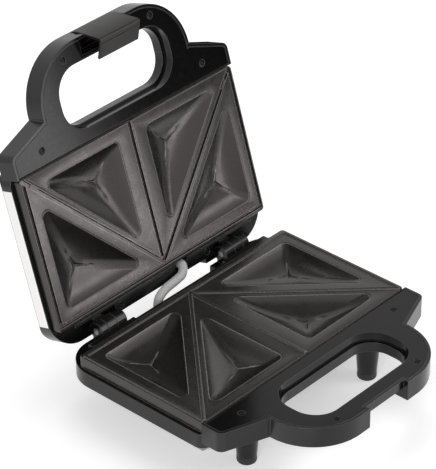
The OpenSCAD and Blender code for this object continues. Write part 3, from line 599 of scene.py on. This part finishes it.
def pocket_rings(lines, grow=0.0, back=0.0):
    """Rings from the rim to the deepest point. grow and back give the cast underside."""
    *centre, deepest = middle_of(lines)
    centre = np.array(centre)
    corners = [meet(*lines[i], *lines[(i + 1) % 3]) for i in range(3)]
    rim = RIM_ROUNDING if not grow else [(0.0, 0.0)]
    insets = WALL_INSETS + list(np.linspace(WALL_INSETS[-1], deepest, FLOOR_RINGS)[1:-1])
    levels = rim + [(i, pocket_depth(i, deepest)) for i in insets]
    rings = []
    for inset, depth in levels:
        radius = min(POCKET_TIP, 0.75 * (deepest - inset))
        outline = corner_arcs(lines, inset - grow, radius + grow, ARC_STEPS)
        z = np.full(len(outline), -depth - back)
        if not grow:
            z -= crease(outline, centre, corners)
        rings.append(np.column_stack([outline, z]))
    low = -POCKET_DEPTH - back - (0 if grow else CREASE_DEPTH)
    rings.append(np.tile([*centre, low], (len(rings[0]), 1)))
    return rings


def mirrored(points):
    """The same outline on the left, turned round so that it runs the same way."""
    return (points * ([-1, 1, 1] if points.shape[1] == 3 else [-1, 1]))[::-1]


def rounded_rect(x0, x1, y0, y1, r, steps=6):
    points = []
    for cx, cy, start in (
        (x1 - r, y0 + r, -90), (x1 - r, y1 - r, 0), (x0 + r, y1 - r, 90), (x0 + r, y0 + r, 180)
    ):
        for k in range(steps + 1):
            t = math.radians(start + 90 * k / steps)
            points.append((cx + r * math.cos(t), cy + r * math.sin(t)))
    return np.array(points)


def plate_outline(inset):
    return rounded_rect(
        -HALF_W + inset, HALF_W - inset, -PLATE_D + inset, -inset, max(PLATE_CORNER - inset, 0.4)
    )


def seal_lines():
    """Centre lines of the seals, as pairs of points."""
    side = HALF_W - RIDGE_SIDE
    lines = [((-side, -RIDGE_HINGE), (side, -RIDGE_HINGE)), ((0, -RIDGE_HINGE), (0, RIDGE_END))]
    for s in (-1, 1):
        lines.append(((s * side, -RIDGE_HINGE), (s * side, RIDGE_END)))
        lines.append(((0, -RIDGE_FORK), (s * side, RIDGE_END)))
    return [(np.array(a, float), np.array(b, float)) for a, b in lines]


SEALS = seal_lines()
SCORED = [(a, b) for a, b in SEALS if a[0] == 0]


def seal_height(p, width, height, shoulder):
    """Height of the seals at a point: their sides rounded over the width of a shoulder."""
    nearest = 1e9
    for a, b in SEALS:
        along = b - a
        t = np.clip((p - a) @ along / (along @ along), 0, 1)
        nearest = min(nearest, np.linalg.norm(p - a - t * along))
    rise = np.clip((width / 2 - nearest) / shoulder, 0, 1)
    return height * math.sqrt(1 - (1 - rise) ** 2)


def score_depth(p):
    """Depth of the fine line scored beside the lid's grooves, on their right."""
    for a, b in SCORED:
        along = unit(b - a)
        aside = (p - a) @ np.array([-along[1], along[0]])
        ahead = (p - a) @ along
        off = abs(aside - SCORE_AT) / (SCORE_W / 2)
        if off < 1 and SCORE_CLEAR < ahead < np.linalg.norm(b - a) - SCORE_CLEAR:
            return SCORE_DEPTH * (1 - off)
    return 0.0


def clipped(a, b, low, high):
    """The part of segment a-b inside a box, or None."""
    t0, t1 = 0.0, 1.0
    d = b - a
    for i in range(2):
        if abs(d[i]) < 1e-9:
            if not low[i] <= a[i] <= high[i]:
                return None
            continue
        near, far = sorted(((low[i] - a[i]) / d[i], (high[i] - a[i]) / d[i]))
        t0, t1 = max(t0, near), min(t1, far)
    return (a + t0 * d, a + t1 * d) if t1 - t0 > 1e-6 else None


def inside(points, outline):
    """Which points lie inside a closed outline."""
    x, y = points[:, 0], points[:, 1]
    found = np.zeros(len(points), bool)
    for a, b in zip(outline, np.roll(outline, -1, 0)):
        if a[1] != b[1]:
            crosses = (a[1] > y) != (b[1] > y)
            found ^= crosses & (x < (b[0] - a[0]) * (y - a[1]) / (b[1] - a[1]) + a[0])
    return found


def sheet_with_holes(outline, holes, lines):
    """Triangles of the area inside outline and outside the holes, with lines kept as edges."""
    points, edges = [], []
    for loop in [outline, *holes]:
        first = len(points)
        points.extend(Vector(p) for p in loop)
        edges.extend((first + i, first + (i + 1) % len(loop)) for i in range(len(loop)))
    for a, b in lines:
        edges.append((len(points), len(points) + 1))
        points.extend((Vector(a), Vector(b)))
    made = delaunay_2d_cdt(points, edges, [], 0, 1e-4)
    flat = np.array([tuple(p) for p in made[0]])
    triangles = np.array([tuple(f) for f in made[2]])
    centres = flat[triangles].mean(1)
    keep = inside(centres, outline)
    for hole in holes:
        keep &= ~inside(centres, hole)
    return flat, triangles[keep]


def land(form, width, height, shoulder, scored):
    """Flat of a plate with its seals, from the pockets' rims out to the rounded outer edge."""
    rims = [pocket_rings(lines)[0][:, :2] for lines in (FRONT_POCKET, SIDE_POCKET)]
    rims += [mirrored(r) for r in rims]
    outline = plate_outline(LIP)
    low, high = (-HALF_W + LIP, -PLATE_D + LIP), (HALF_W - LIP, -LIP)
    lines = []
    for a, b in SEALS:
        along = unit(b - a)
        across = np.array([-along[1], along[0]])
        shifts = [s * (width / 2 - shoulder * k) for k in SHOULDER_STEPS for s in (-1, 1)]
        lines += [clipped(a + across * d, b + across * d, low, high) for d in shifts]
        if scored and a[0] == 0:
            for d in (SCORE_AT - SCORE_W / 2, SCORE_AT, SCORE_AT + SCORE_W / 2):
                ends = a + across * d + along * SCORE_START, b + across * d - along * SCORE_STOP
                lines.append(clipped(*ends, low, high))
    flat, triangles = sheet_with_holes(outline, rims, [cut for cut in lines if cut])
    heights = [seal_height(p, width, height, shoulder) for p in flat]
    if scored:
        heights = [h - score_depth(p) * (h == 0) for p, h in zip(flat, heights)]
    form.add(np.column_stack([flat, heights]), triangles)
    return flat, heights


def edge_loop(flat, heights, inset):
    """Points of the land that lie on its outer edge, in order round the plate."""
    x = np.abs(flat[:, 0])
    y = flat[:, 1]
    centre = np.array([0, -PLATE_D / 2])
    corner = PLATE_CORNER - inset
    half = np.array([HALF_W - inset, PLATE_D / 2 - inset])
    q = np.column_stack([x, np.abs(y - centre[1])]) - (half - corner)
    distance = np.linalg.norm(np.maximum(q, 0), axis=1) + np.minimum(q.max(1), 0) - corner
    on = np.where(np.abs(distance) < 0.03)[0]
    order = on[np.argsort(np.arctan2(y[on] - centre[1], flat[on, 0]))]
    return flat[order], np.array(heights)[order]


def outward(p):
    """Direction straight out of the plate's edge at a point near it."""
    from_middle = np.array([p[0], p[1] + PLATE_D / 2])
    q = np.abs(from_middle) - np.array([HALF_W - PLATE_CORNER, PLATE_D / 2 - PLATE_CORNER])
    q = np.maximum(q, 0)
    d = unit(q) if q.any() else np.array([0.0, 1.0])
    return d * np.copysign(1, from_middle)


def plate(form, width, height, shoulder, scored=False):
    """One cast plate: land, pockets, rounded edge, skirt and underside."""
    flat, heights = land(form, width, height, shoulder, scored)
    edge, rise = edge_loop(flat, heights, LIP)
    out = np.array([outward(p) for p in edge])
    rings = []
    # The lip's rounding as (step outward, drop), then the skirt
    for step, drop in ((0, 0), (0.45, 0.12), (0.8, 0.4), (LIP, 1.0), (LIP, PLATE_SKIRT)):
        z = rise * max(0.0, 1 - step) - drop
        rings.append(np.column_stack([edge + out * step, z]))
    for z in (-PLATE_SKIRT, -PLATE_T):
        rings.append(np.column_stack([edge + out * (LIP - PLATE_T), np.full(len(edge), z)]))
    form.loft(rings)
    tubs = []
    for lines in (FRONT_POCKET, SIDE_POCKET):
        rings_top = pocket_rings(lines)
        rings_low = pocket_rings(lines, PLATE_T, PLATE_T)
        for turn in (lambda r: r, mirrored):
            form.loft([turn(r) for r in rings_top])
            form.loft([turn(r) for r in rings_low])
            tubs.append(turn(rings_low[0])[:, :2])
    inner = rings[-1][:, :2]
    low, triangles = sheet_with_holes(inner, tubs, [])
    form.add(np.column_stack([low, np.full(len(low), -PLATE_T)]), triangles)
    add_bosses(form)


def add_bosses(form):
    """Screw bosses under the plate."""
    tip = BOSS_LEN + 0.3
    profile = [(0, 0), (BOSS_R, 0), (BOSS_R, BOSS_LEN), (BOSS_R - 0.4, tip), (0, tip)]
    for s in (-1, 1):
        for y in BOSS_YS:
            form.lathe((s * BOSS_X, y, -PLATE_T / 2), (0, 0, -1), profile, 24)


def grill_plates():
    base = Form()
    plate(base, RIDGE_W, RIDGE_H, RIDGE_SHOULDER)
    piece(base, "base_plate_cast", "base", "coated_plate", BASE, 30, replaces=("base_plate",))
    lid = Form()
    plate(lid, GROOVE_W, -GROOVE_DEPTH, GROOVE_SHOULDER, scored=True)
    turned = LID @ Matrix.Translation((0, 0, RIM_GAP)) @ Matrix.Diagonal((1, 1, -1, 1))
    piece(lid, "lid_plate_cast", "lid", "coated_plate", turned, 30, replaces=("lid_plate",))


# ---- Stainless cover ----
def sheet_section(inset):
    """Line of the lid's section, from its lower right edge over the crown to the left."""
    arc_x = HOUSING_X - LID_EDGE_R
    r = LID_EDGE_R - inset
    points = [(HOUSING_X - inset, SHEET_LOW)]
    for k in range(9):
        t = math.radians(90 * k / 8)
        points.append((arc_x + r * math.cos(t), LID_RISE - LID_EDGE_R + r * math.sin(t)))
    for k in range(11, -1, -1):
        x = arc_x * k / 12
        points.append((x, LID_RISE - inset + LID_CROWN * (1 - (x / arc_x) ** 2)))
    left = [(-x, z) for x, z in reversed(points[:-1])]
    return np.array(points + left)


def top_cover():
    outer, inner = sheet_section(0), sheet_section(SHEET_T)
    outline = np.vstack([outer, inner[::-1]])
    form = Form()
    n = len(outline)
    rings = [
        np.column_stack([outline[:, 0], np.full(n, y), outline[:, 1]])
        for y in np.linspace(SHEET_FRONT, SHEET_REAR, 9)
    ]
    form.loft(rings)
    for first in (0, (len(rings) - 1) * n):
        form.faces.extend(
            (first + i, first + i + 1, first + n - 2 - i, first + n - 1 - i)
            for i in range(len(outer) - 1)
        )
    piece(form, "steel_cover", "lid", "stainless", LID, 40, replaces=("lid_top_cover",))


# ---- Feet, screws, clip and spring ----
def feet():
    form = Form()
    low = (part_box("foot_tips")[0].z - RIM_Z) / MM
    side = SOLE_EDGE_AT + SOLE_EDGE_R
    profile = [(0, 0), (SOLE_EDGE_AT - 0.2, 0)]
    profile += [
        (SOLE_EDGE_AT + SOLE_EDGE_R * math.sin(t), SOLE_EDGE_R * (1 - math.cos(t)))
        for t in (math.radians(a) for a in range(18, 91, 18))
    ]
    profile += [(side, FOOT_TIP_H - 0.33), (side - 0.3, FOOT_TIP_H), (0, FOOT_TIP_H)]
    for s in (-1, 1):
        for x, y in FOOT_XYS:
            form.lathe((s * x, y, low), (0, 0, 1), profile, 40)
    piece(form, "rubber_feet", "base", "rubber_black", BASE, 40, replaces=("foot_tips",))


def cross_screw(form, centre, up, shank_len):
    """Pan head with a cross recess, and its shank, along up."""
    up = Vector(up).normalized()
    side = up.orthogonal().normalized()
    across = up.cross(side)
    steps = 48
    rows = [0.12, 0.22, 0.32, 0.42, 0.52, 0.62, 0.8, 0.93, 1.0]
    points, faces = [], []
    # The recess: half width of its arms, their reach, and its depth in the middle
    arm, reach, sunk = 0.17 * SCREW_R, 0.6 * SCREW_R, 0.55 * SCREW_HEAD_H

    def height(x, y):
        r = math.hypot(x, y) / SCREW_R
        top = SCREW_HEAD_H * (1 - 0.25 * r**2)
        in_cross = r * SCREW_R < reach and min(abs(x), abs(y)) < arm
        return top - (sunk * (1 - r) if in_cross else 0)

    for share in rows:
        for k in range(steps):
            t = 2 * math.pi * k / steps
            x, y = share * SCREW_R * math.cos(t), share * SCREW_R * math.sin(t)
            points.append(Vector(centre) + side * x + across * y + up * height(x, y))
    for row in range(len(rows) - 1):
        for k in range(steps):
            a, b = row * steps, (row + 1) * steps
            faces.append((a + k, a + (k + 1) % steps, b + (k + 1) % steps, b + k))
    faces.append(tuple(range(steps)))
    form.add(points, faces)
    below = [
        (SCREW_R, SCREW_HEAD_H * 0.75), (SCREW_R, 0), (SHANK_R, 0), (SHANK_R, -shank_len),
        (0, -shank_len),
    ]
    form.lathe(centre, up, below, steps, start=False)


def screws():
    base, lid, hinges = Form(), Form(), Form()
    seat = COVER_SINK + SCREW_SINK
    x_hinge, y_hinge, z_hinge = HINGE_SCREW_AT
    for s in (-1, 1):
        for x, y in COVER_SCREWS:
            cross_screw(base, (s * x, y, -seat), (0, 0, 1), COVER_SCREW_LEN)
            cross_screw(lid, (s * x, y, RIM_GAP + seat), (0, 0, -1), COVER_SCREW_LEN)
        cross_screw(hinges, (s * x_hinge, y_hinge, z_hinge), (0, 0, -1), HINGE_SCREW_LEN)
    piece(base, "base_screws", "base", "screw_black", BASE, replaces=("base_cover_screws",))
    piece(lid, "lid_screws", "lid", "screw_black", LID, replaces=("lid_cover_screws",))
    piece(hinges, "hinge_screws", "lid", "screw_black", LID, replaces=("lid_hinge_screws",))


def inset_outline(points, inset):
    """A closed outline moved in by inset at every corner."""
    p = np.array(points, float)
    made = []
    for before, here, after in zip(np.roll(p, 1, 0), p, np.roll(p, -1, 0)):
        a, b = unit(here - before), unit(after - here)
        normal_a, normal_b = np.array([-a[1], a[0]]), np.array([-b[1], b[0]])
        bisector = normal_a + normal_b
        made.append(here + bisector * inset / max(0.5, (1 + normal_a @ normal_b)))
    return np.array(made)


def latch_body():
    """Sprung clip: a plate over the grip, a creased edge with a slot below it, and a hook."""
    barrel = CLIP_PIN_R + CLIP_BARREL_T
    inner = 0.2 - barrel
    outer = inner - CLIP_T
    toe = np.array([HOOK_LEN + 0.2, -CLIP_LEN - 1.1 + HOOK_RISE])
    heel = np.array([inner - 0.4, -CLIP_LEN - 1.4])
    down = unit(toe - heel)
    inward = np.array([-down[1], down[0]])
    slot_corners = ((2.4, 0), (2.6, 0.8), (3.4, 0.8), (3.7, -0.1))
    slot = [heel + down * along + inward * deep for along, deep in slot_corners]
    barrel_arc = [
        (barrel * math.cos(t), barrel * math.sin(t))
        for t in (math.radians(a) for a in range(-135, 136, 15))
    ]
    outline = [
        (outer, -0.8), (outer, -CLIP_LEN - 0.1), (outer + 0.25, -CLIP_LEN - 0.6),
        (outer + 0.8, -CLIP_LEN - 1.05), heel, *slot, toe - down * 0.5, toe + inward * 0.4,
        (HOOK_LEN - 0.3, -CLIP_LEN + 0.8 + HOOK_RISE), (inner + 1, -CLIP_LEN + 0.9),
        (inner + 0.1, -CLIP_LEN + 1.8), (inner, -1.2), *barrel_arc,
        (inner, 2.5), (outer + 1.5, 2.3), (outer + 0.5, 1.4),
    ]
    small = inset_outline(outline, CLIP_CHAMFER)
    end = CLIP_W / 2
    full = end - CLIP_CHAMFER
    sections = ((-end, small), (-full, outline), (full, outline), (end, small))
    form = Form()
    form.loft([[(x, *p) for p in line] for x, line in sections], start=True, end=True)
    turned = OPENED @ Matrix.Rotation(math.radians(CLIP_LEAN), 4, "X")
    place = Matrix.Translation(joint("latch_pivot")["pos_m"]) @ Matrix.Scale(MM, 4) @ turned
    piece(form, "latch_body", "latch", "latch_plastic", place, replaces=("latch_clip",))


def latch_coil():
    """Helix of the clip's torsion spring, round its pin."""
    rings = []
    steps = COIL_TURNS * 24
    for i in range(steps + 1):
        t = 2 * math.pi * COIL_TURNS * i / steps
        x = -COIL_HALF + 2 * COIL_HALF * i / steps
        radial = Vector((0, math.cos(t), math.sin(t)))
        rings.append([
            Vector((x, 0, 0)) + radial * COIL_R
            + (radial * math.cos(u) + Vector((1, 0, 0)) * math.sin(u)) * COIL_WIRE_R
            for u in (2 * math.pi * k / 8 for k in range(8))
        ])
    form = Form()
    form.loft(rings, start=True, end=True)
    place = Matrix.Translation(joint("latch_pivot")["pos_m"]) @ Matrix.Scale(MM, 4)
    piece(form, "latch_coil", "latch", "steel_bright", place, 60, replaces=("latch_spring",))


# ---- Woven sleeve between base and lid ----
def smooth_route(points, step):
    """Catmull-Rom curve through the points, resampled evenly."""
    p = np.array(points, float)
    p = np.vstack([2 * p[0] - p[1], p, 2 * p[-1] - p[-2]])
    dense = []
    for i in range(1, len(p) - 2):
        a, b, c, d = p[i - 1:i + 3]
        for t in np.linspace(0, 1, 20, endpoint=False):
            dense.append(0.5 * (
                2 * b + (c - a) * t + (2 * a - 5 * b + 4 * c - d) * t**2
                + (3 * b - a - 3 * c + d) * t**3
            ))
    dense.append(p[-2])
    dense = np.array(dense)
    length = np.concatenate([[0], np.cumsum(np.linalg.norm(np.diff(dense, axis=0), axis=1))])
    even = np.linspace(0, length[-1], int(length[-1] / step) + 1)
    return np.column_stack([np.interp(even, length, dense[:, k]) for k in range(3)]), even


def sleeve():
    centre, distance = smooth_route(SLEEVE_ROUTE, 0.3)
    rings = []
    normal = np.array([0.0, 1.0, 0.2])
    for i, p in enumerate(centre):
        ahead = unit(centre[min(i + 1, len(centre) - 1)] - centre[max(i - 1, 0)])
        normal = unit(normal - ahead * (normal @ ahead))
        side = np.cross(ahead, normal)
        twist = 2 * math.pi * distance[i] / SLEEVE_PITCH
        ring = []
        for k in range(SLEEVE_SIDES):
            t = 2 * math.pi * k / SLEEVE_SIDES
            weave = math.sin(SLEEVE_STRANDS * (t + twist)) * math.sin(SLEEVE_STRANDS * (t - twist))
            r = SLEEVE_R - SLEEVE_RELIEF * 0.5 + SLEEVE_RELIEF * 0.5 * weave
            ring.append(p + r * (math.cos(t) * normal + math.sin(t) * side))
        rings.append(ring)
    form = Form()
    form.loft(rings, start=True, end=True)
    tube = piece(form, "wire_sleeve", None, "woven_sleeve", BASE, 60, replaces=("link_sleeve",))
    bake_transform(tube)


def carried_over():
    """CAD nodes that stay as they are take the looks of their slots."""
    slots = {p["node"]: p["material_slot"] for p in frame["record"]["subparts"]}
    for name, node in frame["nodes"].items():
        if node.hide_render:
            continue
        node.data.materials.clear()
        node.data.materials.append(MATERIALS[slots[name]])
        smooth(node.data, SHARP)


# ---- Studio ----
def camera():
    """Unshifted camera whose place and angles make the plates' corners fall as in the picture."""
    data = bpy.data.cameras.new("camera")
    obj = placed("camera", data)
    data.sensor_width = SENSOR
    data.lens = FOCAL_PX / PICTURE_LONG_SIDE * SENSOR
    data.clip_start = 0.05
    data.clip_end = 50
    az, down, roll = (math.radians(a) for a in (CAMERA_AZIMUTH, CAMERA_DOWN, CAMERA_ROLL))
    level = math.cos(down)
    forward = Vector((level * math.cos(az), level * math.sin(az), -math.sin(down)))
    right = forward.cross(Vector((0, 0, 1))).normalized()
    up = right.cross(forward)
    rolled_right = right * math.cos(roll) + up * math.sin(roll)
    rolled_up = up * math.cos(roll) - right * math.sin(roll)
    turn = Matrix((rolled_right, rolled_up, -forward)).transposed().to_4x4()
    obj.matrix_world = Matrix.Translation(CAMERA_AT) @ turn
    bpy.context.scene.camera = obj


def seen_directly(tree):
    """1 for rays that show a background as such: from the camera, mirrored or let through."""
    path = tree.nodes.new("ShaderNodeLightPath")
    total = path.outputs["Is Camera Ray"]
    for kind in ("Is Glossy Ray", "Is Transmission Ray"):
        either = tree.nodes.new("ShaderNodeMath")
        either.operation = "MAXIMUM"
        tree.links.new(total, either.inputs[0])
        tree.links.new(path.outputs[kind], either.inputs[1])
        total = either.outputs[0]
    return total


def world():
    """White where it is seen directly, and a weaker white light on everything else."""
    made = bpy.data.worlds.new("studio")
    bpy.context.scene.world = made
    made.use_nodes = True
    tree = made.node_tree
    background = tree.nodes["Background"]
    background.inputs["Color"].default_value = (1, 1, 1, 1)
    strength = tree.nodes.new("ShaderNodeMath")
    strength.operation = "MULTIPLY_ADD"
    strength.inputs[1].default_value = 1 - WORLD_LIGHT
    strength.inputs[2].default_value = WORLD_LIGHT
    tree.links.new(seen_directly(tree), strength.inputs[0])
    tree.links.new(strength.outputs[0], background.inputs["Strength"])


def floor():
    """White ground that keeps the soft shadow."""
    row = FLOOR_STEPS + 1
    line = [FLOOR_SIZE * (i / FLOOR_STEPS - 0.5) for i in range(row)]
    faces = [
        (j * row + i, j * row + i + 1, (j + 1) * row + i + 1, (j + 1) * row + i)
        for j in range(FLOOR_STEPS) for i in range(FLOOR_STEPS)
    ]
    mesh = bpy.data.meshes.new("floor")
    mesh.from_pydata([(x, y, -FLOOR_SINK) for y in line for x in line], [], faces)
    obj = placed("floor", mesh)
    material = bpy.data.materials.new("floor_white")
    material.use_nodes = True
    tree = material.node_tree
    shader = tree.nodes["Principled BSDF"]
    shader.inputs["Base Color"].default_value = (0.8, 0.8, 0.8, 1)
    shader.inputs["Roughness"].default_value = 0.9
    shader.inputs["Specular IOR Level"].default_value = 0.1
    shader.inputs["Emission Color"].default_value = (1, 1, 1, 1)
    glow = tree.nodes.new("ShaderNodeMath")
    glow.operation = "MULTIPLY"
    glow.inputs[1].default_value = FLOOR_GLOW
    tree.links.new(seen_directly(tree), glow.inputs[0])
    tree.links.new(glow.outputs[0], shader.inputs["Emission Strength"])
    mesh.materials.append(material)


def lamp(name, at, size, power, target=(0, 0, 0.1)):
    """Rectangular lamp turned to the toaster, not seen by the camera."""
    data = bpy.data.lights.new(name, "AREA")
    data.shape = "RECTANGLE"
    data.size, data.size_y = size
    data.energy = power
    obj = placed(name, data)
    obj.location = at
    obj.visible_camera = False
    aim = Vector(target) - Vector(at)
    obj.rotation_euler = aim.to_track_quat("-Z", "Y").to_euler()


def card(name, corner, side_a, side_b, glow=0.0):
    """Black or glowing card from a corner along two sides, seen only in reflections."""
    corner, side_a, side_b = Vector(corner), Vector(side_a), Vector(side_b)
    mesh = bpy.data.meshes.new(name)
    mesh.from_pydata(
        [corner, corner + side_a, corner + side_a + side_b, corner + side_b], [], [(0, 1, 2, 3)]
    )
    obj = placed(name, mesh)
    material = bpy.data.materials.new(name)
    material.use_nodes = True
    shader = material.node_tree.nodes["Principled BSDF"]
    shader.inputs["Base Color"].default_value = rgba(0.0)
    shader.inputs["Specular IOR Level"].default_value = 0.0
    shader.inputs["Emission Color"].default_value = rgba(1.0)
    shader.inputs["Emission Strength"].default_value = glow
    mesh.materials.append(material)
    obj.visible_camera = obj.visible_shadow = obj.visible_diffuse = False


def lights():
    # The room's light, then two small lamps that the open lid mirrors
    lamp("top", (0.3, 0.4, 1.7), (1.2, 1.2), 12)
    lamp("left", (-1.6, -0.9, 0.9), (0.6, 1.2), 14)
    lamp("right", (1.2, -1.3, 1.0), (0.8, 1.0), 8)
    lamp("lid_low", (0.465, -0.62, 0.027), (0.19, 0.05), 0.29)
    lamp("lid_high", (0.42, -0.62, 0.17), (0.12, 0.16), 0.25)
    # Dark cards that bound the bright parts of the plates and covers
    card("flag_front", (0.535, -0.6, 0.055), (0.6, 0, 0), (0, 0, 0.5))
    card("flag_lid", (0.122, 0.16, 0.12), (0.08, 0, 0), (0, 0, 0.28))
    card("flag_low", (0.61, -0.6, 0), (0.5, 0, 0), (0, 0, 0.055))
    card("flag_right", (0.8, 0.7, 0), (0, -0.95, 0), (0, 0, 0.2))
    card("flag_floor", (0.3, -0.3, 0.002), (0.6, 0, 0), (0, 0.9, 0))
    card("flag_top", (-0.6, -0.2, 1.0), (1.5, 0, 0), (0, 0.8, 0))
    # Bright strip of ground that the housing's left side mirrors
    card("glow_left", (-0.22, -0.3, 0.001), (0.11, 0, 0), (0, 0.27, 0), 1.5)


grill_plates()
top_cover()
feet()
screws()
latch_body()
latch_coil()
sleeve()
carried_over()
camera()
world()
floor()
lights()

bpy.context.scene.view_settings.view_transform = "Standard"
